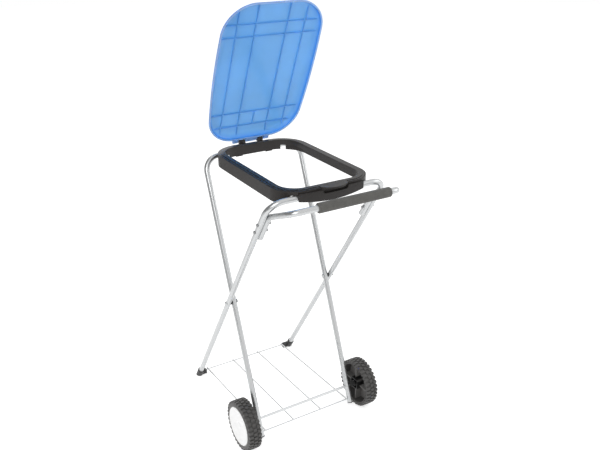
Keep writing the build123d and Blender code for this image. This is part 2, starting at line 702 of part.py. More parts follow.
# Lid: a shallow dished tray with a lip, stiffened inside by a grid of ribs, drawn as it stands open
lid_front = Vector(0, -cos(radians(lid_open)), sin(radians(lid_open)))
lid_up = Vector(0, sin(radians(lid_open)), cos(radians(lid_open)))
lid_plane = Plane((0, hinge_y, hinge_z), x_dir=(1, 0, 0), z_dir=lid_up)
lid_rim = clamp_top + lid_gap - hinge_z
lid_ceiling = lid_rim + lid_depth - lid_wall
lid_side_inset = lid_lip_width + lid_wall
lid_flare = tan(radians(lid_slope))
lid_far = lid_near + lid_length


def lid_plan(inset):
    """The lid's outline seen from above, moved inwards; the hinge pin is at the origin."""
    near_y = -lid_near - inset
    far_y = inset - lid_far
    with BuildSketch() as plan:
        with BuildLine():
            near = Line((inset - lid_near_half, near_y), (lid_near_half - inset, near_y))
            far = Line((inset - lid_far_half, far_y), (lid_far_half - inset, far_y))
            ThreePointArc(near @ 0, (inset - lid_half_width, -(lid_near + lid_far) / 2), far @ 0)
            ThreePointArc(near @ 1, (lid_half_width - inset, -(lid_near + lid_far) / 2), far @ 1)
        make_face()
        fillet(plan.vertices().group_by(Axis.Y)[-1], lid_near_corner - inset)
        fillet(plan.vertices().group_by(Axis.Y)[0], lid_far_corner - inset)
    return plan.sketch


with BuildPart() as lid_cavity:
    for height in (lid_rim, lid_ceiling):
        with BuildSketch(lid_plane.offset(height)):
            add(lid_plan(lid_side_inset + (height - lid_rim - lid_lip_height) * lid_flare))
    loft(ruled=True)
    fillet(lid_cavity.faces().sort_by(Axis(lid_plane.origin, lid_up))[-1].edges(), lid_edge - lid_wall)

with BuildPart() as lid_ribs:
    with BuildSketch(lid_plane.offset(lid_ceiling - lid_rib_height)):
        for x in lid_long_ribs:
            with Locations((-x, -lid_far / 2), (x, -lid_far / 2)):
                Rectangle(lid_rib_t, lid_far)
        for y in lid_cross_ribs:
            with Locations((0, -y)):
                Rectangle(2 * lid_half_width, lid_rib_t)
        with Locations((0, -lid_cross_ribs[0])):
            Rectangle(lid_rib_t, lid_cross_ribs[1] - lid_cross_ribs[0], align=(Align.CENTER, Align.MAX))
    extrude(amount=lid_rib_height)
    add(lid_cavity.part, mode=Mode.INTERSECT)

with BuildPart() as lid:
    with BuildSketch(lid_plane.offset(lid_rim)):
        add(lid_plan(0))
    extrude(amount=lid_lip_height)
    for rise in (0, lid_depth - lid_lip_height):
        with BuildSketch(lid_plane.offset(lid_rim + lid_lip_height + rise)):
            add(lid_plan(lid_lip_width + rise * lid_flare))
    loft(ruled=True)
    fillet(lid.faces().sort_by(Axis(lid_plane.origin, lid_up))[-1].edges(), lid_edge)
    add(lid_cavity.part, mode=Mode.SUBTRACT)
    add(lid_ribs.part)
    for start, stop in (
        (-lid_knuckle_half, lid_knuckle_half),
        (lid_outer_knuckle_from, lid_outer_knuckle_to),
        (-lid_outer_knuckle_to, -lid_outer_knuckle_from),
    ):
        with BuildSketch(Plane((start, hinge_y, hinge_z), x_dir=lid_front, z_dir=(-1, 0, 0))):
            Polygon(*lid_knuckle_arm, align=None)
            Circle(knuckle_d / 2)
            Circle(pin_d / 2 + running, mode=Mode.SUBTRACT)
        extrude(amount=start - stop)
save(lid, "lid")
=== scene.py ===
from math import asin, cos, pi, radians, sin

import bmesh
import bpy
from mathutils import Matrix, Vector


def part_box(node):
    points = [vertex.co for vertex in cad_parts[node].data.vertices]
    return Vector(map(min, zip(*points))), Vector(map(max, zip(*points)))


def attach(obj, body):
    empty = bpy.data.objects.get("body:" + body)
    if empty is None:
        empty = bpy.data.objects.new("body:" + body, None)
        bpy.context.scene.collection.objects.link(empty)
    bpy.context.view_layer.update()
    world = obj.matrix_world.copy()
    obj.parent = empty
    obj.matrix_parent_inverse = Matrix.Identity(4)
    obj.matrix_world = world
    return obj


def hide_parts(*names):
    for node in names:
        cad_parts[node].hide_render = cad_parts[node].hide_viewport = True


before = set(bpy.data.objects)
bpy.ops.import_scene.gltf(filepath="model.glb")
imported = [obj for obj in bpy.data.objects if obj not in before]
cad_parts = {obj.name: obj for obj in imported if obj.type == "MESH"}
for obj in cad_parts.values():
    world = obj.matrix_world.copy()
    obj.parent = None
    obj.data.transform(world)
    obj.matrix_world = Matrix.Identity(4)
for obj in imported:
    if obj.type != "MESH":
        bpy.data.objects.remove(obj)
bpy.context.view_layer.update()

bl_info = {
    "name": "Bin Bag Holder",
    "version": (1, 0, 0),
    "blender": (4, 5, 0),
    "location": "3D Viewport > Sidebar > Bin Bag Holder",
    "description": "Finishes, lid, ring, grip, feet, shelf and wheels of a folding bin bag holder",
    "category": "Object",
}

# All lengths are in metres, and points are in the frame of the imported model. Left is -X, the
# handle and the wheels are towards -Y.
MM = 0.001
MERGE = 2e-6
FLAT_WITHIN = radians(0.5)


def middle(node):
    """The centre of a node's box."""
    low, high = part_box(node)
    return (low + high) / 2


HINGE = middle("hinge_pin")
AXLE = middle("axle")
HANDLE_BAR = middle("handle_grip")

LID_OPEN = radians(66)
LID_RIM = -5.6 * MM            # the rim's plane, from the hinge pin
LID_NEAR = 8.6 * MM            # near edge, in front of the pin
LID_FAR = 448.6 * MM
LID_NEAR_HALF = 139 * MM
LID_FAR_HALF = 145 * MM
LID_HALF_WIDTH = 154 * MM
LID_NEAR_CORNER = 80 * MM
LID_FAR_CORNER = 85 * MM
LID_CORNER_STEPS = 16
LID_SIDE_STEPS = 16
LID_LIP_WIDTH = 2.5 * MM
LID_LIP_HEIGHT = 3 * MM
LID_SHOULDER = 25 * MM         # how far the wall curves in before the flat middle
LID_SHOULDER_STEPS = 10
LID_STEPS_TO_RIB = 4           # inside, from the lip to the height of the ribs' edges
LID_STEPS_OVER_RIB = 7
LID_RIB_T = 2 * MM
LID_RIB_PAINTED_TINT = 0.3             # the ribs' share of the wall's painted deeper tint
LID_PAINTED_WALL_TINT = (15 * MM, 7 * MM)    # heights over the rim between which the painted deeper tint fades in
# heights over the rim below which the lip is painted paler, as a painted highlight
LID_LIP_PAINTED_HIGHLIGHT = (2.5 * MM, 0.5 * MM)
LID_LONG_RIBS = (47 * MM, 101 * MM)
LID_CROSS_RIBS = (52 * MM, 99 * MM, 345 * MM, 382 * MM)
KNUCKLE_R = 5.5 * MM
KNUCKLE_STEPS = 24
PIN_BORE_R = 2.06 * MM
PIN_BORE_LENGTH = 130 * MM
PIN_BORE_STEPS = 32
LID_KNUCKLES = ((-19.6 * MM, 19.6 * MM), (42 * MM, 58 * MM), (-58 * MM, -42 * MM))
LID_ARM = 13 * MM
LID_ARM_BELOW = 4.6 * MM
KNUCKLE_ROUND = 0.4 * MM

GRIP_BORE_R = 8.05 * MM
GRIP_STEPS = 48
GRIP_ROUND_STEPS = 6

WHEEL_R = 75 * MM
WHEEL_STEPS = 96
WHEEL_RIM_R = 62 * MM
WHEEL_DISH = 6 * MM
WHEEL_WEB = 3 * MM
WHEEL_BORE_R = 4.06 * MM
CAP_R = 57.4 * MM
CAP_FLANGE_R = 61.7 * MM
HUB_BOSS = 34 * MM
HUB_BOSS_WALL = 3 * MM
HUB_BOSS_ROUND = 5 * MM
HUB_BOSS_STEPS = 5
WEB_OVERLAP = 1 * MM           # how far the boss, the hub and the ribs run into the web
HUB_R = 9 * MM
HUB_STEPS = 48
WHEEL_RIBS = 4
WHEEL_RIB_T = 3 * MM
WHEEL_RIB_SETBACK = 7 * MM
LUG_ROWS = 3
LUG_GAP = 0.9 * MM             # from a row's edge to its lugs, between two rows
LUG_SHARE = 0.66               # of the pitch that a lug fills
LUG_TAPER = 0.86
LUG_ROUND = 0.7 * MM
LUG_TOP_GAP = 0.2 * MM         # the lugs' tops stay this far inside the wheel's radius
LUG_ROOT = 2 * MM              # what is added to a lug's height to sink it into the tyre bed
SHOULDER_TOP_DROP = 0.6 * MM   # the outer rows' ends sit lower at the top
SHOULDER_ROOT_DROP = 5 * MM    # and wrap over the shoulder
# painted light: the paler colour given to the recess inside a wheel's drum
WHEEL_RECESS_PAINTED_LIGHT = (0.15, 0.145, 0.14, 1)
# painted shade: the near-black given to the boss and hub in the middle of a wheel
HUB_PAINTED_SHADE = (0.008, 0.008, 0.008, 1)

CAMERA_TURN = radians(-30.78)
CAMERA_RISE = radians(23.3)
CAMERA_ROLL = radians(-0.27)
CAMERA_PLACE = (-0.92669, -1.63065, 1.43189)
CAMERA_LENS = 43.16
STUDIO_LEFT = (-0.859, 0.512, 0)     # leftwards as the camera sees it
STUDIO_MIDDLE = (0, 0, 0.55)
FLAG_DARKNESS = 0.75
FLOOR_R = 12
FLOOR_LIFT = 0.6
WORLD_LIGHT = 0.62


# Meshes

def copy_of(node):
    """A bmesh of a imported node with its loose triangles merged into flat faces."""
    bm = bmesh.new()
    bm.from_mesh(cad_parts[node].data)
    bmesh.ops.remove_doubles(bm, verts=bm.verts, dist=MERGE)
    bmesh.ops.dissolve_limit(bm, angle_limit=FLAT_WITHIN, verts=bm.verts, edges=bm.edges)
    return bm


def sharp_edges(bm, over):
    """The edges at which two faces meet at more than this many degrees."""
    limit = radians(over)
    return [edge for edge in bm.edges if edge.is_manifold and edge.calc_face_angle(0) > limit]


def soften(bm, width, over=50, segments=2):
    """Round every sharp edge of a closed mesh."""
    bmesh.ops.bevel(
        bm, geom=sharp_edges(bm, over), offset=width, offset_type="OFFSET", segments=segments,
        profile=0.5, affect="EDGES", clamp_overlap=True, material=-1,
    )


def closed_outline(bm, points):
    """Vertices joined in a loop by edges, as geometry for a spin or an extrusion."""
    verts = [bm.verts.new(point) for point in points]
    edges = [bm.edges.new(ends) for ends in zip(verts, verts[1:] + verts[:1])]
    return verts + edges


def lathe(bm, outline, steps):
    """Spin an outline of (distance along X, radius) points a full turn about the X axis."""
    geometry = closed_outline(bm, [(x, 0, radius) for x, radius in outline])
    bmesh.ops.spin(
        bm, geom=geometry, cent=(0, 0, 0), axis=(1, 0, 0), angle=2 * pi, steps=steps,
        use_merge=True, use_duplicate=False,
    )
    bmesh.ops.remove_doubles(bm, verts=bm.verts, dist=MERGE)
    on_axis = [edge for edge in bm.edges if not edge.link_faces]
    bmesh.ops.delete(bm, geom=on_axis, context="EDGES")


def block(bm, size, place):
    """A box of this size, placed by a matrix from the origin. Returns its vertices."""
    made = bmesh.ops.create_cube(bm, size=1.0)["verts"]
    bmesh.ops.scale(bm, vec=size, verts=made)
    bmesh.ops.transform(bm, matrix=place, verts=made)
    return made


def extruded(bm, faces, shift):
    """Extrude faces by a vector, leaving the first ones in place. Returns the new ones."""
    made = bmesh.ops.extrude_face_region(bm, geom=faces, use_keep_orig=True)["geom"]
    verts = [item for item in made if isinstance(item, bmesh.types.BMVert)]
    bmesh.ops.translate(bm, vec=shift, verts=verts)
    return [item for item in made if isinstance(item, bmesh.types.BMFace)]


def inset(bm, faces, width):
    """Inset faces evenly from their border."""
    bmesh.ops.inset_region(
        bm, faces=faces, thickness=width, depth=0, use_even_offset=True, use_boundary=True,
    )


def round_corners(bm, verts, radius, steps):
    """Round the corners of a flat face."""
    bmesh.ops.bevel(
        bm, geom=verts, offset=radius, offset_type="OFFSET", segments=steps, profile=0.5,
        affect="VERTICES", material=-1,
    )


def append_mesh(bm, part):
    """Add one bmesh to another; the added one is freed."""
    mesh = bpy.data.meshes.new("part")
    part.to_mesh(mesh)
    part.free()
    bm.from_mesh(mesh)
    bpy.data.meshes.remove(mesh)


def scratch_object(bm, name):
    """A short-lived object made from a bmesh, which is freed."""
    mesh = bpy.data.meshes.new(name)
    bm.to_mesh(mesh)
    bm.free()
    holder = bpy.data.objects.new(name, mesh)
    bpy.context.scene.collection.objects.link(holder)
    return holder


def combine(bm, tool, operation):
    """Join a closed bmesh to another, or cut it away, and return the result."""
    base = scratch_object(bm, "combined")
    other = scratch_object(tool, "tool")
    modifier = base.modifiers.new("Combine", "BOOLEAN")
    modifier.operation = operation
    modifier.solver = "EXACT"
    modifier.object = other
    evaluated = base.evaluated_get(bpy.context.evaluated_depsgraph_get())
    made = bpy.data.meshes.new_from_object(evaluated)
    result = bmesh.new()
    result.from_mesh(made)
    for holder in (base, other):
        mesh = holder.data
        bpy.data.objects.remove(holder)
        bpy.data.meshes.remove(mesh)
    bpy.data.meshes.remove(made)
    if not result.faces:
        raise RuntimeError("combining two shapes left nothing")
    return result


def finish_piece(bm, name, body, material, replaces=(), smooth=35):
    """Turn a bmesh into a piece that rides on a body and stands for the nodes it replaces."""
    if not bm.faces:
        raise RuntimeError(f"{name} has no faces")
    bmesh.ops.remove_doubles(bm, verts=bm.verts, dist=MERGE)
    bmesh.ops.recalc_face_normals(bm, faces=bm.faces)
    mesh = bpy.data.meshes.new(name)
    bm.to_mesh(mesh)
    bm.free()
    mesh.shade_smooth()
    mesh.set_sharp_from_angle(angle=radians(smooth))
    mesh.materials.append(material)
    piece = bpy.data.objects.new(name, mesh)
    bpy.context.scene.collection.objects.link(piece)
    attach(piece, body)
    if replaces:
        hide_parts(*replaces)
    return piece


def even_shading(piece):
    """Weighted normals keep flat faces flat beside their rounded edges."""
    weighted = piece.modifiers.new("Weighted Normals", "WEIGHTED_NORMAL")
    weighted.keep_sharp = True


def mould(node, body, material, edge):
    """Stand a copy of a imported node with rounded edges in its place."""
    bm = copy_of(node)
    soften(bm, edge)
    even_shading(finish_piece(bm, f"{node}_moulded", body, material, [node]))


def give(nodes, material):
    """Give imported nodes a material."""
    for name in nodes:
        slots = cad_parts[name].data.materials
        slots.clear()
        slots.append(material)


def pair(name):
    """The node names of a left and right pair."""
    return [f"{name}_left", f"{name}_right"]


# Materials

SKIN_OUTPUTS = (
    ("Colour", "NodeSocketColor"), ("Roughness", "NodeSocketFloat"), ("Height", "NodeSocketFloat"),
)


def new_material(name):
    """A node material. Returns it, its node tree and its Principled shader."""
    material = bpy.data.materials.new(name)
    material.use_nodes = True
    return material, material.node_tree, material.node_tree.nodes["Principled BSDF"]


def new_group(name, inputs):
    """A skin's node group. Returns the group, its input node and its output node."""
    group = bpy.data.node_groups.new(name, "ShaderNodeTree")
    for socket, kind, value in inputs:
        group.interface.new_socket(socket, in_out="INPUT", socket_type=kind).default_value = value
    for socket, kind in SKIN_OUTPUTS:
        group.interface.new_socket(socket, in_out="OUTPUT", socket_type=kind)
    return group, group.nodes.new("NodeGroupInput"), group.nodes.new("NodeGroupOutput")


def put_out(group, outside, colour, rough, height):
    """Link a skin's results to its group's outputs."""
    for name, socket in (("Colour", colour), ("Roughness", rough), ("Height", height)):
        group.links.new(socket, outside.inputs[name])


def position(tree, kind="Object"):
    """The coordinates of the shaded point."""
    return tree.nodes.new("ShaderNodeTexCoord").outputs[kind]


def noise(tree, place, scale, detail=3.0, roughness=0.55):
    """A noise texture on a position; returns its value socket."""
    node = tree.nodes.new("ShaderNodeTexNoise")
    node.inputs["Detail"].default_value = detail
    node.inputs["Roughness"].default_value = roughness
    tree.links.new(place, node.inputs["Vector"])
    if isinstance(scale, bpy.types.NodeSocket):
        tree.links.new(scale, node.inputs["Scale"])
    else:
        node.inputs["Scale"].default_value = scale
    return node.outputs["Fac"]


def arithmetic(tree, operation, first, second):
    """A math node on two values or sockets; returns its result."""
    node = tree.nodes.new("ShaderNodeMath")
    node.operation = operation
    for socket, value in zip(node.inputs, (first, second)):
        if isinstance(value, bpy.types.NodeSocket):
            tree.links.new(value, socket)
        else:
            socket.default_value = value
    return node.outputs["Value"]


def vector_math(tree, operation, place, value=(0, 0, 0)):
    """A vector math node on a position; returns its vector, or its length or dot product."""
    node = tree.nodes.new("ShaderNodeVectorMath")
    node.operation = operation
    node.inputs[1].default_value = value
    tree.links.new(place, node.inputs[0])
    return node.outputs["Value" if operation in ("LENGTH", "DOT_PRODUCT") else "Vector"]


def blend_colours(tree, amount, first, second):
    """Mix two colours; returns the mixed colour socket."""
    node = tree.nodes.new("ShaderNodeMix")
    node.data_type = "RGBA"
    tree.links.new(amount, node.inputs["Factor"])
    for name, value in (("A", first), ("B", second)):
        socket = [item for item in node.inputs if item.name == name and item.type == "RGBA"][0]
        if isinstance(value, bpy.types.NodeSocket):
            tree.links.new(value, socket)
        else:
            socket.default_value = value
    return [item for item in node.outputs if item.type == "RGBA"][0]


def spread(tree, value, low, high, to_low=0.0, to_high=1.0):
    """Stretch the part of a value between low and high over a new range."""
    node = tree.nodes.new("ShaderNodeMapRange")
    for name, number in (("From Min", low), ("From Max", high)):
        node.inputs[name].default_value = number
    for name, number in (("To Min", to_low), ("To Max", to_high)):
        if isinstance(number, bpy.types.NodeSocket):
            tree.links.new(number, node.inputs[name])
        else:
            node.inputs[name].default_value = number
    tree.links.new(value, node.inputs["Value"])
    return node.outputs["Result"]


def add_bump(tree, shader, height, strength, distance):
    """Bump a shader's normal by a height."""
    bump = tree.nodes.new("ShaderNodeBump")
    bump.inputs["Strength"].default_value = strength
    bump.inputs["Distance"].default_value = distance
    tree.links.new(height, bump.inputs["Height"])
    tree.links.new(bump.outputs["Normal"], shader.inputs["Normal"])


def plated_skin():
    """Bright plating on steel: a faint cloudiness, a fine grain and small dull spots."""
    group, inside, outside = new_group("Plated Skin", (
        ("Bright", "NodeSocketColor", (0.8, 0.8, 0.8, 1)),
        ("Dull", "NodeSocketColor", (0.6, 0.6, 0.6, 1)),
        ("Smoothness", "NodeSocketFloat", 0.2),
        ("Grain Scale", "NodeSocketFloat", 900.0),
    ))
    place = position(group)
    cloud = noise(group, place, 14.0, detail=2.0)
    grain = noise(group, place, inside.outputs["Grain Scale"], detail=2.0)
    spots = spread(group, noise(group, place, 160.0, detail=4.0), 0.6, 0.75)
    dulling = arithmetic(group, "ADD", arithmetic(group, "MULTIPLY", cloud, 0.5), spots)
    dulling = arithmetic(group, "MINIMUM", dulling, 1.0)
    colour = blend_colours(group, dulling, inside.outputs["Bright"], inside.outputs["Dull"])
    rough = arithmetic(group, "MULTIPLY", spots, 0.12)
    rough = arithmetic(group, "ADD", rough, inside.outputs["Smoothness"])
    rough = arithmetic(group, "ADD", rough, spread(group, cloud, 0.35, 0.65, -0.03, 0.05))
    put_out(group, outside, colour, rough, grain)
    return group


def moulded_grain():
    """Moulded plastic: a slow drift of tone, a fine matt grain and a little dust in patches."""
    group, inside, outside = new_group("Moulded Grain", (
        ("Base", "NodeSocketColor", (0.05, 0.05, 0.05, 1)),
        ("Pale", "NodeSocketColor", (0.1, 0.1, 0.1, 1)),
        ("Smoothness", "NodeSocketFloat", 0.4),
        ("Grain Scale", "NodeSocketFloat", 1400.0),
    ))
    place = position(group)
    drift = noise(group, place, 9.0, detail=2.0)
    grain = noise(group, place, inside.outputs["Grain Scale"], detail=2.0)
    scuffs = spread(group, noise(group, place, 55.0, detail=6.0, roughness=0.7), 0.56, 0.72)
    pale = spread(group, drift, 0.35, 0.7, 0.0, 0.35)
    pale = arithmetic(group, "ADD", pale, arithmetic(group, "MULTIPLY", scuffs, 0.3))
    colour = blend_colours(group, pale, inside.outputs["Base"], inside.outputs["Pale"])
    rough = arithmetic(group, "MULTIPLY", scuffs, 0.12)
    rough = arithmetic(group, "ADD", inside.outputs["Smoothness"], rough)
    rough = arithmetic(group, "ADD", rough, spread(group, drift, 0.35, 0.65, -0.02, 0.04))
    put_out(group, outside, colour, rough, grain)
    return group


def skinned(name, group, colour, tones, smoothness, grain_scale, bump, metallic=0.0, specular=0.5):
    """A Principled material whose skin group varies between two tones of a colour."""
    material, tree, shader = new_material(name)
    shader.inputs["Metallic"].default_value = metallic
    shader.inputs["Specular IOR Level"].default_value = specular
    skin = tree.nodes.new("ShaderNodeGroup")
    skin.node_tree = group
    for socket, factor in zip(skin.inputs[:2], tones):
        socket.default_value = tone(colour, factor)
    skin.inputs["Smoothness"].default_value = smoothness
    skin.inputs["Grain Scale"].default_value = grain_scale
    tree.links.new(skin.outputs["Colour"], shader.inputs["Base Color"])
    tree.links.new(skin.outputs["Roughness"], shader.inputs["Roughness"])
    add_bump(tree, shader, skin.outputs["Height"], bump, 0.05 * MM)
    return material


def tone(colour, factor):
    """A colour made lighter or darker, with its alpha kept at 1."""
    return tuple(min(1.0, channel * factor) for channel in colour[:3]) + (1.0,)


def ready(name):
    """A material made by an earlier operator."""
    material = bpy.data.materials.get(name)
    if material is None:
        raise RuntimeError(f"material {name} isn't made yet: run Make Finishes first")
    return material


def paint_wheel_light_and_shade(material):
    """Blacken the boss and hub in the middle of a wheel with painted shade, and paint light on the
    recess round them, making it paler.
    """
    tree = material.node_tree
    colour_in = tree.nodes["Principled BSDF"].inputs["Base Color"]
    plain = colour_in.links[0].from_socket
    from_axle = vector_math(tree, "SUBTRACT", position(tree), AXLE)
    radius = vector_math(tree, "LENGTH", vector_math(tree, "MULTIPLY", from_axle, (0, 1, 1)))
    # Painted light: the recess inside the drum is made paler.
    recess_painted_light = spread(tree, radius, WHEEL_RIM_R - 1 * MM, WHEEL_RIM_R - 3 * MM)
    # Painted shade: the boss and hub in the middle of the wheel are made near black.
    hub_painted_shade = spread(tree, radius, HUB_BOSS * 0.7, HUB_BOSS * 0.6)
    with_recess_painted_light = blend_colours(tree, recess_painted_light, plain, WHEEL_RECESS_PAINTED_LIGHT)
    tree.links.new(blend_colours(tree, hub_painted_shade, with_recess_painted_light, HUB_PAINTED_SHADE), colour_in)


def foam_finish(colour):
    """Closed-cell foam: small round cells, a soft sheen and darker pits."""
    _, tree, shader = new_material("Grip Foam")
    shader.inputs["Sheen Weight"].default_value = 0.15
    place = position(tree)
    cells = tree.nodes.new("ShaderNodeTexVoronoi")
    cells.inputs["Scale"].default_value = 900.0
    tree.links.new(place, cells.inputs["Vector"])
    depth = cells.outputs["Distance"]
    drift = noise(tree, place, 60.0)
    shade = arithmetic(tree, "MULTIPLY", spread(tree, depth, 0.1, 0.6), drift)
    mixed = blend_colours(tree, shade, tone(colour, 1.15), tone(colour, 0.55))
    tree.links.new(mixed, shader.inputs["Base Color"])
    tree.links.new(spread(tree, drift, 0.3, 0.7, 0.75, 0.92), shader.inputs["Roughness"])
    add_bump(tree, shader, depth, 0.6, 0.2 * MM)


def painted_wall_colour(colour):
    """The lid's deeper and purer colour on its curved wall: a painted tint that stands for light
    passing along the wall.
    """
    red, green, blue = colour[:3]
    return red * 0.45, green * 0.72, blue, 1.0


def painted_lip_highlight(colour):
    """The lid's colour on its thin lip, paler: a painted highlight."""
    return tuple((channel + 0.55) / 1.55 for channel in colour[:3]) + (1.0,)


def near_lid_edge(tree, place):
    """1 on the lid's curved wall and less on its ribs, by a point's distance from the middle: where
    the painted deeper tint goes.
    """
    lengthwise = Matrix.Rotation(-LID_OPEN, 3, "X") @ Vector((0, -1, 0))
    middle_along = HINGE.dot(lengthwise) + (LID_NEAR + LID_FAR) / 2
    parts = []
    for direction, offset, half in (
        (Vector((1, 0, 0)), 0.0, (LID_NEAR_HALF + LID_HALF_WIDTH) / 2),
        (lengthwise, middle_along, (LID_FAR - LID_NEAR) / 2),
    ):
        out = vector_math(tree, "DOT_PRODUCT", place, direction / half)
        share = arithmetic(tree, "SUBTRACT", out, offset / half)
        squared = arithmetic(tree, "MULTIPLY", share, share)
        parts.append(arithmetic(tree, "MULTIPLY", squared, squared))
    return spread(tree, arithmetic(tree, "ADD", *parts), 0.55, 0.8, LID_RIB_PAINTED_TINT, 1.0)


def lid_finish(colour, clearness):
    """Translucent plastic that glows with the light behind it, with a painted deeper tint on its
    wall and ribs and a painted highlight on its lip.
    """
    _, tree, shader = new_material("Lid Plastic")
    shader.inputs["Transmission Weight"].default_value = clearness
    shader.inputs["IOR"].default_value = 1.2
    shader.inputs["Coat Weight"].default_value = 0.8
    shader.inputs["Coat Roughness"].default_value = 0.2
    place = position(tree)
    drift = noise(tree, place, 6.0, detail=2.0)
    flow = noise(tree, place, 38.0, detail=4.0)
    shade = arithmetic(tree, "ADD", drift, arithmetic(tree, "MULTIPLY", flow, 0.3))
    shade = spread(tree, shade, 0.5, 0.9)
    mixed = blend_colours(tree, shade, tone(colour, 1.06), tone(colour, 0.92))
    facing = Matrix.Rotation(-LID_OPEN, 3, "X") @ Vector((0, 0, 1))
    height = vector_math(tree, "DOT_PRODUCT", place, facing)
    height = arithmetic(tree, "SUBTRACT", height, HINGE.dot(facing) + LID_RIM)
    # Painted light: a deeper tint on the wall and ribs, standing for light passing through more
    # plastic.
    curved = spread(tree, height, *LID_PAINTED_WALL_TINT)
    curved = arithmetic(tree, "MULTIPLY", curved, near_lid_edge(tree, place))
    mixed = blend_colours(tree, curved, mixed, painted_wall_colour(colour))
    # Painted highlight: the thin lip is made paler.
    lip = spread(tree, height, *LID_LIP_PAINTED_HIGHLIGHT)
    mixed = blend_colours(tree, lip, mixed, painted_lip_highlight(colour))
    tree.links.new(mixed, shader.inputs["Base Color"])
    tree.links.new(spread(tree, flow, 0.3, 0.7, 0.42, 0.5), shader.inputs["Roughness"])
    add_bump(tree, shader, noise(tree, place, 1800.0, detail=1.0), 0.15, 0.05 * MM)


# Sizes and colours that a user would change

class HolderColours(bpy.types.PropertyGroup):
    """Colours of the holder's finishes."""

    steel: bpy.props.FloatVectorProperty(
        name="Steel", description="Bright plating on the tubes", subtype="COLOR", size=4,
        min=0, max=1, default=(0.56, 0.57, 0.575, 1),
    )
    ring: bpy.props.FloatVectorProperty(
        name="Ring", description="Black plastic of the bag ring", subtype="COLOR", size=4,
        min=0, max=1, default=(0.02, 0.0175, 0.0165, 1),
    )
    plastic: bpy.props.FloatVectorProperty(
        name="Feet", description="Grey-black plastic of the feet and plugs", subtype="COLOR", size=4,
        min=0, max=1, default=(0.032, 0.032, 0.032, 1),
    )
    wheel: bpy.props.FloatVectorProperty(
        name="Wheels", description="Black plastic of the wheels", subtype="COLOR", size=4,
        min=0, max=1, default=(0.062, 0.06, 0.058, 1),
    )
    cap: bpy.props.FloatVectorProperty(
        name="Hub Caps", description="White plastic of the hub caps", subtype="COLOR", size=4,
        min=0, max=1, default=(0.97, 0.97, 0.965, 1),
    )
    foam: bpy.props.FloatVectorProperty(
        name="Grip", description="Foam of the grip", subtype="COLOR", size=4,
        min=0, max=1, default=(0.11, 0.108, 0.1, 1),
    )
    lid: bpy.props.FloatVectorProperty(
        name="Lid", description="Translucent blue of the lid", subtype="COLOR", size=4,
        min=0, max=1, default=(0.17, 0.48, 0.88, 1),
    )
    lid_clearness: bpy.props.FloatProperty(
        name="Lid Clearness", description="Share of the light that goes through the lid",
        subtype="FACTOR", min=0, max=1, default=0.55,
    )


class HolderSizes(bpy.types.PropertyGroup):
    """Sizes of the holder's dressed pieces."""

    edge: bpy.props.FloatProperty(
        name="Moulded Edge", description="Rounding of the moulded pieces' edges",
        unit="LENGTH", min=0, default=0.6 * MM,
    )
    lid_wall: bpy.props.FloatProperty(
        name="Lid Wall", description="Thickness of the lid", unit="LENGTH",
        min=0.5 * MM, default=2 * MM,
    )
    lid_depth: bpy.props.FloatProperty(
        name="Lid Depth", description="Height of the closed lid", unit="LENGTH",
        min=8 * MM, default=18 * MM,
    )
    lid_rib: bpy.props.FloatProperty(
        name="Lid Rib", description="Height of the ribs inside the lid", unit="LENGTH",
        min=1 * MM, default=5 * MM,
    )
    grip_round: bpy.props.FloatProperty(
        name="Grip Round", description="Rounding of the grip's ends", unit="LENGTH",
        min=0.5 * MM, default=3 * MM,
    )
    lugs: bpy.props.IntProperty(
        name="Tread Lugs", description="Lugs in each row round a wheel", min=12, max=60, default=34,
    )
    lug_depth: bpy.props.FloatProperty(
        name="Lug Depth", description="Height of the lugs above the tread", unit="LENGTH",
        min=1 * MM, default=3.6 * MM,
    )


# Operators

class HOLDER_OT_finishes(bpy.types.Operator):
    """Make the holder's materials and their shared groups"""

    bl_idname = "holder.finishes"
    bl_label = "Make Finishes"

    def execute(self, context):
        colours = context.scene.holder_colours
        plating = plated_skin()
        grain = moulded_grain()
        steel = tuple(colours.steel)
        ring = tuple(colours.ring)
        plastic = tuple(colours.plastic)
        wheel = tuple(colours.wheel)
        cap = tuple(colours.cap)
        skinned(
            "Tube Steel", plating, steel, tones=(1.0, 0.9), smoothness=0.28, grain_scale=700.0,
            bump=0.03, metallic=0.9,
        )
        skinned(
            "Fastener Steel", plating, steel, tones=(0.55, 0.4), smoothness=0.35,
            grain_scale=1200.0, bump=0.2, metallic=1.0,
        )
        skinned(
            "Axle Steel", plating, steel, tones=(1.3, 1.1), smoothness=0.3, grain_scale=1000.0,
            bump=0.1, metallic=0.9,
        )
        skinned(
            "Shelf Wire", plating, steel, tones=(1.2, 1.0), smoothness=0.3, grain_scale=1100.0,
            bump=0.15, metallic=0.9,
        )
        skinned(
            "Ring Plastic", grain, ring, tones=(1.0, 1.6), smoothness=0.42, grain_scale=1800.0,
            bump=0.04, specular=0.34,
        )
        skinned(
            "Black Plastic", grain, plastic, tones=(1.0, 1.4), smoothness=0.45,
            grain_scale=1500.0, bump=0.5, specular=0.4,
        )
        paint_wheel_light_and_shade(skinned(
            "Wheel Plastic", grain, wheel, tones=(1.0, 1.5), smoothness=0.42,
            grain_scale=1500.0, bump=0.4, specular=0.4,
        ))
        skinned(
            "Hub Cap Plastic", grain, cap, tones=(1.0, 0.98), smoothness=0.28,
            grain_scale=1800.0, bump=0.02,
        )
        foam_finish(tuple(colours.foam))
        lid_finish(tuple(colours.lid), colours.lid_clearness)
        return {"FINISHED"}


class HOLDER_OT_frames(bpy.types.Operator):
    """Plate the two frames and the handle tube"""

    bl_idname = "holder.frames"
    bl_label = "Finish Frames"

    def execute(self, context):
        give(["foot_frame", "wheel_frame", "handle_tube"], ready("Tube Steel"))
        return {"FINISHED"}


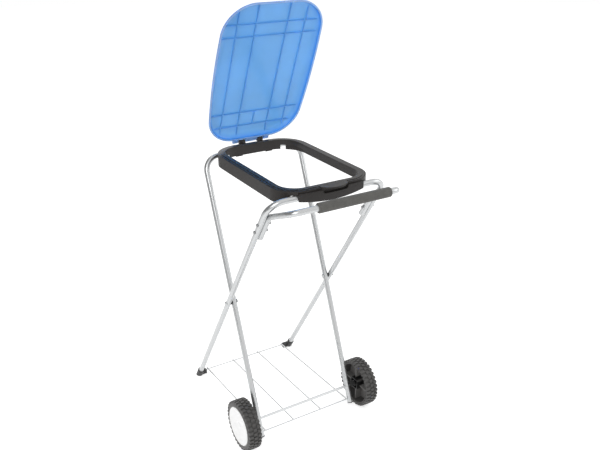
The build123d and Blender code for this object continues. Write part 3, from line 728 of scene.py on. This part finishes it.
class HOLDER_OT_fasteners(bpy.types.Operator):
    """Finish the bolts, screws, nuts, washers, axle and hinge pin"""

    bl_idname = "holder.fasteners"
    bl_label = "Finish Fasteners"

    def execute(self, context):
        for part in ("screw", "nut"):
            for place in ("lower", "upper"):
                give(pair(f"handle_{part}_{place}"), ready("Fastener Steel"))
        give(pair("push_nut"), ready("Fastener Steel"))
        give(pair("pivot_bolt"), ready("Tube Steel"))
        give(["axle", "hinge_pin"], ready("Axle Steel"))
        give(pair("pivot_washer") + pair("axle_spacer"), ready("Black Plastic"))
        return {"FINISHED"}


class HOLDER_OT_shelf(bpy.types.Operator):
    """Finish the wire shelf"""

    bl_idname = "holder.shelf"
    bl_label = "Finish Shelf"

    def execute(self, context):
        give(["shelf"], ready("Shelf Wire"))
        return {"FINISHED"}


class HOLDER_OT_feet(bpy.types.Operator):
    """Round the edges of the foot caps and the leg plugs"""

    bl_idname = "holder.feet"
    bl_label = "Make Feet"

    def execute(self, context):
        edge = context.scene.holder_sizes.edge
        for name, body in (("foot_cap", "foot_frame"), ("leg_plug", "wheel_frame")):
            for node in pair(name):
                mould(node, body, ready("Black Plastic"), edge)
        return {"FINISHED"}


class HOLDER_OT_ring(bpy.types.Operator):
    """Round the edges of the base ring and the clamp ring"""

    bl_idname = "holder.ring"
    bl_label = "Make Bag Ring"

    def execute(self, context):
        edge = context.scene.holder_sizes.edge
        for node, body in (("base_ring", "ring"), ("clamp_ring", "clamp_ring")):
            mould(node, body, ready("Ring Plastic"), edge)
        return {"FINISHED"}


def curve_inwards(bm, face, width, height, angles):
    """Inset a face along a quarter ellipse, from upright at 0 to level at a right angle."""
    for start, stop in zip(angles, angles[1:]):
        bmesh.ops.inset_region(
            bm, faces=[face], thickness=width * (cos(start) - cos(stop)),
            depth=height * (sin(stop) - sin(start)), use_even_offset=True, use_boundary=True,
        )


def even_steps(start, stop, count):
    """Values from start to stop, evenly spaced."""
    return [start + (stop - start) * step / count for step in range(count + 1)]


def lid_plan(bm):
    """The lid's outline as one face in the rim's plane, with round corners and bowed sides."""
    corners = (
        (-LID_NEAR_HALF, -LID_NEAR), (LID_NEAR_HALF, -LID_NEAR),
        (LID_FAR_HALF, -LID_FAR), (-LID_FAR_HALF, -LID_FAR),
    )
    verts = [bm.verts.new((x, y, LID_RIM)) for x, y in corners]
    bm.faces.new(verts)
    round_corners(bm, verts[:2], LID_NEAR_CORNER, LID_CORNER_STEPS)
    round_corners(bm, verts[2:], LID_FAR_CORNER, LID_CORNER_STEPS)
    sides = [
        edge for edge in bm.edges if abs(edge.verts[0].co.y - edge.verts[1].co.y) > LID_FAR / 3
    ]
    bmesh.ops.subdivide_edges(bm, edges=sides, cuts=LID_SIDE_STEPS - 1)
    bmesh.ops.dissolve_faces(bm, faces=bm.faces[:], use_verts=False)
    half_length = (LID_FAR - LID_NEAR) / 2
    bow = 2 * LID_HALF_WIDTH / (LID_NEAR_HALF + LID_FAR_HALF) - 1
    for vert in bm.verts:
        along = (-vert.co.y - LID_NEAR) / half_length - 1
        vert.co.x *= 1 + bow * (1 - along * along)
    return bm.faces[:][0]


def turn_face(face, up):
    """Make a level face look up or down."""
    if (face.normal.z > 0) != up:
        face.normal_flip()


def add_lid_ribs(bm, root_height, ceiling):
    """Cut the inside of the tray along the ribs' sides and push the strips towards the rim."""
    slack = 0.01 * MM
    half = LID_RIB_T / 2
    centre_from, centre_to = LID_CROSS_RIBS[:2]
    lines = [((side * x, 0, 0), (1, 0, 0)) for x in LID_LONG_RIBS for side in (-1, 1)]
    lines += [((0, -y, 0), (0, 1, 0)) for y in LID_CROSS_RIBS]
    lines.append(((0, 0, 0), (1, 0, 0)))

    def inside_faces():
        return [
            face for face in bm.faces
            if all(root_height - slack < v.co.z < ceiling + slack for v in face.verts)
            and face.normal.z < -0.1
        ]

    def cut(point, direction):
        faces = inside_faces()
        edges = {edge for face in faces for edge in face.edges}
        verts = {vert for face in faces for vert in face.verts}
        bmesh.ops.bisect_plane(
            bm, geom=faces + list(edges) + list(verts), plane_co=point, plane_no=direction,
            dist=1e-7,
        )

    for point, direction in lines:
        for edge in (-half, half):
            cut(Vector(point) + edge * Vector(direction), direction)

    def in_rib(point):
        on_long = any(abs(abs(point.x) - x) < half for x in LID_LONG_RIBS)
        on_cross = any(abs(-point.y - y) < half for y in LID_CROSS_RIBS)
        on_centre = abs(point.x) < half and centre_from < -point.y < centre_to
        return on_long or on_cross or on_centre

    strips = [face for face in inside_faces() if in_rib(face.calc_center_median())]
    if not strips:
        raise RuntimeError("no strip of the lid lies under a rib")
    made = bmesh.ops.extrude_face_region(bm, geom=strips)["geom"]
    for vert in [item for item in made if isinstance(item, bmesh.types.BMVert)]:
        vert.co.z = root_height
    left_behind = [face for face in strips if face.is_valid]
    bmesh.ops.delete(bm, geom=left_behind, context="FACES")
    bmesh.ops.remove_doubles(bm, verts=bm.verts, dist=MERGE)


def lid_tray(sizes):
    """The lid's tray with its ribs, closed, in the hinge's own frame."""
    bm = bmesh.new()
    rim = lid_plan(bm)
    top = extruded(bm, [rim], (0, 0, LID_LIP_HEIGHT))[0]
    turn_face(rim, up=False)
    turn_face(top, up=True)
    bm.normal_update()
    inset(bm, [top], LID_LIP_WIDTH)
    rise = sizes.lid_depth - LID_LIP_HEIGHT
    curve_inwards(bm, top, LID_SHOULDER, rise, even_steps(0, pi / 2, LID_SHOULDER_STEPS))
    # The inside starts level with the rim, rises past the lip and curves in below the outer skin
    inset(bm, [rim], LID_LIP_WIDTH + sizes.lid_wall)
    inside = extruded(bm, [rim], (0, 0, LID_LIP_HEIGHT))[0]
    bmesh.ops.delete(bm, geom=[rim], context="FACES_ONLY")
    turn_face(inside, up=False)
    bm.normal_update()
    inner_depth = sizes.lid_depth - sizes.lid_wall
    inner_rise = inner_depth - LID_LIP_HEIGHT
    root = inner_depth - sizes.lid_rib
    turn = asin((root - LID_LIP_HEIGHT) / inner_rise)
    angles = even_steps(0, turn, LID_STEPS_TO_RIB)[:-1]
    angles += even_steps(turn, pi / 2, LID_STEPS_OVER_RIB)
    curve_inwards(bm, inside, LID_SHOULDER - sizes.lid_wall, -inner_rise, angles)
    bmesh.ops.recalc_face_normals(bm, faces=bm.faces)
    add_lid_ribs(bm, LID_RIM + root, LID_RIM + inner_depth)
    bmesh.ops.recalc_face_normals(bm, faces=bm.faces)
    return bm


def lid_knuckle(start, stop):
    """One knuckle of the lid with its arm, in the hinge's own frame."""
    bm = bmesh.new()
    outline = [(start, -LID_ARM, -LID_ARM_BELOW), (start, -LID_ARM, 0)]
    turn = 2 * pi - asin(LID_ARM_BELOW / KNUCKLE_R)
    for angle in even_steps(pi, pi - turn, KNUCKLE_STEPS):
        outline.append((start, KNUCKLE_R * cos(angle), KNUCKLE_R * sin(angle)))
    closed_outline(bm, outline)
    face = bmesh.ops.contextual_create(bm, geom=bm.edges[:])["faces"]
    extruded(bm, face, (stop - start, 0, 0))
    bmesh.ops.recalc_face_normals(bm, faces=bm.faces)
    soften(bm, KNUCKLE_ROUND, over=60)
    return bm


class HOLDER_OT_lid(bpy.types.Operator):
    """Make the translucent lid with its lip, ribs and knuckles"""

    bl_idname = "holder.lid"
    bl_label = "Make Lid"

    def execute(self, context):
        sizes = context.scene.holder_sizes
        bm = lid_tray(sizes)
        for start, stop in LID_KNUCKLES:
            bm = combine(bm, lid_knuckle(start, stop), "UNION")
        bore = bmesh.new()
        bmesh.ops.create_cone(
            bore, cap_ends=True, segments=PIN_BORE_STEPS, radius1=PIN_BORE_R,
            radius2=PIN_BORE_R, depth=PIN_BORE_LENGTH, matrix=Matrix.Rotation(pi / 2, 4, "Y"),
        )
        bm = combine(bm, bore, "DIFFERENCE")
        place = Matrix.Translation(HINGE) @ Matrix.Rotation(-LID_OPEN, 4, "X")
        bmesh.ops.transform(bm, matrix=place, verts=bm.verts)
        finish_piece(bm, "lid_tray", "lid", ready("Lid Plastic"), ["lid"], smooth=30)
        return {"FINISHED"}


class HOLDER_OT_grip(bpy.types.Operator):
    """Make the foam grip on the handle's bar"""

    bl_idname = "holder.grip"
    bl_label = "Make Grip"

    def execute(self, context):
        low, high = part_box("handle_grip")
        radius = (high.z - low.z) / 2
        edge = context.scene.holder_sizes.grip_round
        quarter = [
            (edge * (1 - sin(angle)), radius - edge * (1 - cos(angle)))
            for angle in even_steps(0, pi / 2, GRIP_ROUND_STEPS)
        ]
        outline = [(low.x, GRIP_BORE_R)]
        outline += [(low.x + inwards, out) for inwards, out in reversed(quarter)]
        outline += [(high.x - inwards, out) for inwards, out in quarter]
        outline += [(high.x, GRIP_BORE_R)]
        bm = bmesh.new()
        lathe(bm, outline, GRIP_STEPS)
        bmesh.ops.translate(bm, vec=(0, HANDLE_BAR.y, HANDLE_BAR.z), verts=bm.verts)
        grip = finish_piece(
            bm, "foam_grip", "foot_frame", ready("Grip Foam"), ["handle_grip"]
        )
        return {"FINISHED"}


def wheel_body(bm, width, lug_depth):
    """The wheel's tyre bed, drum, web and bore, turned, with a bead over the cap's edge."""
    bed = WHEEL_R - lug_depth
    web_outer = width - WHEEL_DISH
    web_inner = web_outer - WHEEL_WEB
    outline = (
        (1.2 * MM, WHEEL_RIM_R), (0.3 * MM, WHEEL_RIM_R + 0.6 * MM), (0, WHEEL_RIM_R + 2 * MM),
        (0, bed - 4 * MM), (1.2 * MM, bed - 1.2 * MM), (4 * MM, bed),
        (width - 4 * MM, bed), (width - 1.2 * MM, bed - 1.2 * MM), (width, bed - 4 * MM),
        (width + 1.2 * MM, bed - 6.5 * MM), (width + 1.4 * MM, CAP_R + 3 * MM),
        (width + 0.8 * MM, CAP_R + 0.8 * MM), (width - 1 * MM, CAP_R + 0.2 * MM),
        (width - 1 * MM, WHEEL_RIM_R), (web_outer, WHEEL_RIM_R), (web_outer, WHEEL_BORE_R),
        (web_inner, WHEEL_BORE_R), (web_inner, WHEEL_RIM_R),
    )
    lathe(bm, outline, WHEEL_STEPS)


def hub_cap(bm, width):
    """A cap with a flange under the wheel's bead, a rolled edge and a shallow middle dish."""
    seat = width - WHEEL_DISH
    flange = width - 1.3 * MM
    crown = width + 2.4 * MM
    outline = (
        (seat, CAP_FLANGE_R), (flange, CAP_FLANGE_R), (flange, CAP_R), (crown - 2 * MM, CAP_R),
        (crown - 0.9 * MM, CAP_R - 0.5 * MM), (crown - 0.3 * MM, CAP_R - 1.6 * MM),
        (crown - 0.1 * MM, CAP_R - 3 * MM), (crown - 0.4 * MM, CAP_R - 4.6 * MM),
        (crown - 0.9 * MM, CAP_R - 6 * MM), (crown - 1 * MM, CAP_R - 8 * MM),
        (crown - 0.6 * MM, 36 * MM), (crown, 20 * MM), (crown - 0.1 * MM, 17.4 * MM),
        (crown - 0.8 * MM, 16 * MM), (crown - 1.1 * MM, 14 * MM), (crown - 1.2 * MM, 6 * MM),
        (crown - 1.2 * MM, 0), (crown - 3 * MM, 0), (crown - 3 * MM, CAP_R - 4 * MM),
        (seat, CAP_FLANGE_R - 2 * MM),
    )
    lathe(bm, outline, WHEEL_STEPS)


def hub_boss(depth):
    """A square boss with round corners, open towards the frame, along X."""
    bm = bmesh.new()
    verts = bmesh.ops.create_grid(
        bm, x_segments=1, y_segments=1, size=HUB_BOSS / 2, matrix=Matrix.Rotation(pi / 2, 4, "Y"),
    )["verts"]
    round_corners(bm, verts, HUB_BOSS_ROUND, HUB_BOSS_STEPS)
    opening = bm.faces[:]
    extruded(bm, opening, (depth, 0, 0))
    inset(bm, opening, HUB_BOSS_WALL)
    extruded(bm, opening, (depth - WEB_OVERLAP, 0, 0))
    bmesh.ops.delete(bm, geom=opening, context="FACES_ONLY")
    bmesh.ops.recalc_face_normals(bm, faces=bm.faces)
    return bm


def wheel_inside(bm, width):
    """The square boss, the hub and the ribs on the side of the wheel that faces the frame."""
    reach = width - WHEEL_DISH - WHEEL_WEB + WEB_OVERLAP
    append_mesh(bm, hub_boss(reach))
    hub = bmesh.new()
    outline = ((0, WHEEL_BORE_R), (0, HUB_R), (reach, HUB_R), (reach, WHEEL_BORE_R))
    lathe(hub, outline, HUB_STEPS)
    append_mesh(bm, hub)
    rib_deep = reach - WHEEL_RIB_SETBACK
    rib_long = WHEEL_RIM_R - HUB_BOSS / 2 + 2 * WEB_OVERLAP
    rib_middle = (HUB_BOSS / 2 + WHEEL_RIM_R) / 2
    out = Matrix.Translation((WHEEL_RIB_SETBACK + rib_deep / 2, 0, rib_middle))
    for step in range(WHEEL_RIBS):
        turn = Matrix.Rotation(step * 2 * pi / WHEEL_RIBS, 4, "X")
        block(bm, (rib_deep, WHEEL_RIB_T, rib_long), turn @ out)


def tread(bm, width, count, lug_depth):
    """Staggered rows of lugs; the outer rows wrap over the shoulders."""
    bed = WHEEL_R - lug_depth
    row_width = width / LUG_ROWS
    lug_long = LUG_SHARE * 2 * pi * WHEEL_R / count
    height = lug_depth + LUG_ROOT
    for row in range(LUG_ROWS):
        part = bmesh.new()
        start = row * row_width + (LUG_GAP if row else 0)
        stop = (row + 1) * row_width - (LUG_GAP if row < LUG_ROWS - 1 else 0)
        centre = ((start + stop) / 2, 0, WHEEL_R - LUG_TOP_GAP - height / 2)
        for vert in block(part, (stop - start, lug_long, height), Matrix.Translation(centre)):
            on_top = vert.co.z > bed
            if on_top:
                vert.co.y *= LUG_TAPER
            if min(vert.co.x, width - vert.co.x) < row_width / 2:
                vert.co.z -= SHOULDER_TOP_DROP if on_top else SHOULDER_ROOT_DROP
        bmesh.ops.bevel(
            part, geom=part.edges[:], offset=LUG_ROUND, offset_type="OFFSET", segments=2,
            profile=0.5, affect="EDGES", material=-1,
        )
        turn = Matrix.Rotation(pi / count if row == 1 else 0, 3, "X")
        bmesh.ops.rotate(part, cent=(0, 0, 0), matrix=turn, verts=part.verts)
        bmesh.ops.spin(
            part, geom=part.verts[:] + part.edges[:] + part.faces[:], cent=(0, 0, 0),
            axis=(1, 0, 0), angle=2 * pi * (count - 1) / count, steps=count - 1,
            use_duplicate=True,
        )
        append_mesh(bm, part)


class HOLDER_OT_wheels(bpy.types.Operator):
    """Make the wheels with their lugs, and the hub caps"""

    bl_idname = "holder.wheels"
    bl_label = "Make Wheels"

    def execute(self, context):
        sizes = context.scene.holder_sizes
        for side, name in ((-1, "left"), (1, "right")):
            low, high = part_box(f"wheel_{name}")
            width = high.x - low.x
            inner = low.x if side > 0 else high.x
            bm = bmesh.new()
            wheel_body(bm, width, sizes.lug_depth)
            tread(bm, width, sizes.lugs, sizes.lug_depth)
            wheel_inside(bm, width)
            cap = bmesh.new()
            hub_cap(cap, width)
            for part in (bm, cap):
                if side < 0:
                    bmesh.ops.scale(part, vec=(-1, 1, 1), verts=part.verts)
                bmesh.ops.translate(part, vec=(inner, AXLE.y, AXLE.z), verts=part.verts)
            body = f"{name}_wheel"
            piece = finish_piece(
                bm, f"wheel_moulded_{name}", body, ready("Wheel Plastic"),
                [f"wheel_{name}"],
            )
            even_shading(piece)
            finish_piece(
                cap, f"hub_cap_moulded_{name}", body, ready("Hub Cap Plastic"),
                [f"hub_cap_{name}"], smooth=50,
            )
        return {"FINISHED"}


def only_seen(tree):
    """1 for rays that go from the camera, a mirror or clear plastic straight to a surface."""
    rays = tree.nodes.new("ShaderNodeLightPath")
    seen = arithmetic(tree, "MAXIMUM", rays.outputs["Is Camera Ray"], rays.outputs["Is Glossy Ray"])
    return arithmetic(tree, "MAXIMUM", seen, rays.outputs["Is Transmission Ray"])


def mirrored_light(tree, place, start, stop):
    """1 for most rays; less for a mirrored ray that ends on the dark flag at the studio's left."""
    leftwards = vector_math(tree, "DOT_PRODUCT", place, STUDIO_LEFT)
    flag = spread(tree, leftwards, start, stop, 0.0, FLAG_DARKNESS)
    mirrored = tree.nodes.new("ShaderNodeLightPath").outputs["Is Glossy Ray"]
    return arithmetic(tree, "SUBTRACT", 1.0, arithmetic(tree, "MULTIPLY", mirrored, flag))


def lay_floor(scene):
    """A pale floor that keeps the holder's shadow and looks white."""
    bm = bmesh.new()
    bmesh.ops.create_circle(bm, cap_ends=True, radius=FLOOR_R, segments=96)
    mesh = bpy.data.meshes.new("studio_floor")
    bm.to_mesh(mesh)
    bm.free()
    floor = bpy.data.objects.new("studio_floor", mesh)
    scene.collection.objects.link(floor)
    paper, tree, shader = new_material("Studio Floor")
    shader.inputs["Base Color"].default_value = (0.8, 0.8, 0.8, 1)
    shader.inputs["Roughness"].default_value = 0.9
    shader.inputs["Specular IOR Level"].default_value = 0
    shader.inputs["Emission Color"].default_value = (1, 1, 1, 1)
    lift = arithmetic(tree, "MULTIPLY", only_seen(tree), FLOOR_LIFT)
    flagged = mirrored_light(tree, position(tree), start=0.8, stop=1.6)
    lift = arithmetic(tree, "MULTIPLY", lift, flagged)
    tree.links.new(lift, shader.inputs["Emission Strength"])
    mesh.materials.append(paper)


def light_world(scene):
    """A world that lights the holder softly and looks white."""
    world = bpy.data.worlds.new("Studio World")
    scene.world = world
    world.use_nodes = True
    tree = world.node_tree
    background = tree.nodes["Background"]
    background.inputs["Color"].default_value = (1, 1, 1, 1)
    seen = spread(tree, only_seen(tree), 0, 1, WORLD_LIGHT, 1.0)
    flagged = mirrored_light(tree, position(tree, "Generated"), start=0.1, stop=0.5)
    light = arithmetic(tree, "MULTIPLY", seen, flagged)
    tree.links.new(light, background.inputs["Strength"])


def softbox(name, place, target, size, power, mirrored=True):
    """A square area lamp that faces a point. One that isn't mirrored lights only matt surfaces."""
    lamp = bpy.data.lights.new(name, "AREA")
    lamp.size = size
    lamp.energy = power
    holder = bpy.data.objects.new(name, lamp)
    holder.matrix_world = (
        Matrix.Translation(place)
        @ (Vector(target) - Vector(place)).to_track_quat("-Z", "Y").to_matrix().to_4x4()
    )
    holder.visible_camera = False
    holder.visible_glossy = mirrored
    bpy.context.scene.collection.objects.link(holder)


def set_camera(scene):
    """The camera at the photograph's viewing angle."""
    camera = bpy.data.objects.new("Camera", bpy.data.cameras.new("Camera"))
    camera.data.lens = CAMERA_LENS
    camera.data.clip_end = 60
    camera.matrix_world = (
        Matrix.Translation(CAMERA_PLACE)
        @ Matrix.Rotation(CAMERA_TURN, 4, "Z")
        @ Matrix.Rotation(pi / 2 - CAMERA_RISE, 4, "X")
        @ Matrix.Rotation(CAMERA_ROLL, 4, "Z")
    )
    scene.collection.objects.link(camera)
    scene.camera = camera


class HOLDER_OT_stage(bpy.types.Operator):
    """Set the pale floor, the soft studio light and the camera"""

    bl_idname = "holder.stage"
    bl_label = "Set Stage"

    def execute(self, context):
        scene = context.scene
        lay_floor(scene)
        light_world(scene)
        softbox("Key Softbox", (-1.8, -1.6, 2.2), STUDIO_MIDDLE, size=1.6, power=25)
        softbox(
            "Low Softbox", (-2.2, -1.1, 0.5), (0, -0.1, 0.15), size=1.2, power=7, mirrored=False,
        )
        softbox("Fill Softbox", (2.2, -1.0, 1.6), STUDIO_MIDDLE, size=1.8, power=12)
        softbox("Rear Softbox", (0.4, 2.4, 2.2), STUDIO_MIDDLE, size=1.6, power=14)
        set_camera(scene)
        scene.view_settings.view_transform = "Standard"
        return {"FINISHED"}


OPERATORS = (
    HOLDER_OT_finishes, HOLDER_OT_frames, HOLDER_OT_fasteners, HOLDER_OT_shelf, HOLDER_OT_feet,
    HOLDER_OT_ring, HOLDER_OT_lid, HOLDER_OT_grip, HOLDER_OT_wheels, HOLDER_OT_stage,
)


class HOLDER_PT_panel(bpy.types.Panel):
    """Sizes, colours and steps of the bin bag holder"""

    bl_label = "Bin Bag Holder"
    bl_idname = "HOLDER_PT_panel"
    bl_space_type = "VIEW_3D"
    bl_region_type = "UI"
    bl_category = "Bin Bag Holder"

    def draw(self, context):
        for group in (context.scene.holder_sizes, context.scene.holder_colours):
            box = self.layout.box()
            for name in group.__annotations__:
                box.prop(group, name)
        for operator in OPERATORS:
            self.layout.operator(operator.bl_idname)


CLASSES = (HolderColours, HolderSizes) + OPERATORS + (HOLDER_PT_panel,)


def register():
    for item in CLASSES:
        bpy.utils.register_class(item)
    bpy.types.Scene.holder_colours = bpy.props.PointerProperty(type=HolderColours)
    bpy.types.Scene.holder_sizes = bpy.props.PointerProperty(type=HolderSizes)


def unregister():
    del bpy.types.Scene.holder_sizes
    del bpy.types.Scene.holder_colours
    for item in reversed(CLASSES):
        bpy.utils.unregister_class(item)


def main():
    register()
    bpy.ops.holder.finishes()
    bpy.ops.holder.frames()
    bpy.ops.holder.fasteners()
    bpy.ops.holder.shelf()
    bpy.ops.holder.feet()
    bpy.ops.holder.ring()
    bpy.ops.holder.lid()
    bpy.ops.holder.grip()
    bpy.ops.holder.wheels()
    bpy.ops.holder.stage()


if __name__ == "__main__":
    main()
